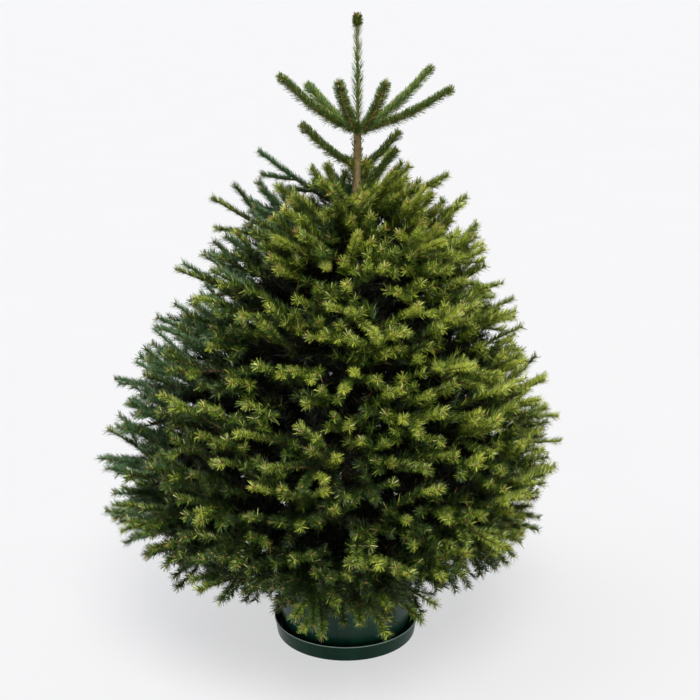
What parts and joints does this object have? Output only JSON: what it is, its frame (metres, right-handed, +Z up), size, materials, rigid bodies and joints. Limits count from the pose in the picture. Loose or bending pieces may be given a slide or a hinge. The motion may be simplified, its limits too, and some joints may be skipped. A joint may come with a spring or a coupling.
{
  "type": "potted christmas tree",
  "caption": "Potted fir grown as a Christmas tree, undecorated: cone of flat needled sprays on whorled boughs, a bare leader above, and a tapered plastic pot of soil standing in a round saucer.",
  "frame": {"origin": "centre of the saucer's flat underside, level with the floor", "axes": "+Z up along the trunk, -Y the front of the tree as shown, +X to the viewer's right"},
  "size_m": [1.1539, 1.1576, 1.5],
  "materials": {
    "bark": "rough bark",
    "shoot_needles": "satin needles",
    "crown_needles": "satin needles",
    "pot_plastic": "satin",
    "soil": "rough compost"
  },
  "bodies": {
    "root": {"bough_4_1": "bark", "bough_4_2": "bark", "bough_4_3": "bark", "bough_4_4": "bark", "bough_5_1": "bark", "bough_5_2": "bark", "bough_5_3": "bark", "bough_5_4": "bark", "bough_6_1": "bark", "bough_6_2": "bark", "bough_6_3": "bark", "bough_6_4": "bark", "bough_7_1": "bark", "bough_7_2": "bark", "bough_7_3": "bark", "bough_7_4": "bark", "foliage_1_1": "crown_needles", "foliage_1_2": "crown_needles", "foliage_1_3": "crown_needles", "foliage_1_4": "crown_needles", "foliage_2_1": "crown_needles", "foliage_2_2": "crown_needles", "foliage_2_3": "crown_needles", "foliage_2_4": "crown_needles", "foliage_2_5": "crown_needles", "foliage_3_1": "crown_needles", "foliage_3_2": "crown_needles", "foliage_3_3": "crown_needles", "foliage_3_4": "crown_needles", "foliage_3_5": "crown_needles", "foliage_4_1": "crown_needles", "foliage_4_2": "crown_needles", "foliage_4_3": "crown_needles", "foliage_4_4": "crown_needles", "foliage_5_1": "crown_needles", "foliage_5_2": "crown_needles", "foliage_5_3": "crown_needles", "foliage_5_4": "crown_needles", "foliage_6_1": "crown_needles", "foliage_6_2": "crown_needles", "foliage_6_3": "crown_needles", "foliage_6_4": "crown_needles", "foliage_7_1": "crown_needles", "foliage_7_2": "crown_needles", "foliage_7_3": "crown_needles", "foliage_7_4": "crown_needles", "leader_needles": "shoot_needles", "pot": "pot_plastic", "saucer": "pot_plastic", "shoot_between_left": "shoot_needles", "shoot_between_low": "shoot_needles", "shoot_between_right": "shoot_needles", "shoot_front_left": "shoot_needles", "shoot_front_right": "shoot_needles", "shoot_left_back": "shoot_needles", "shoot_left_front": "shoot_needles", "shoot_right_back": "shoot_needles", "shoot_right_front": "shoot_needles", "soil": "soil", "trunk": "bark"}
  },
  "joints": []
}
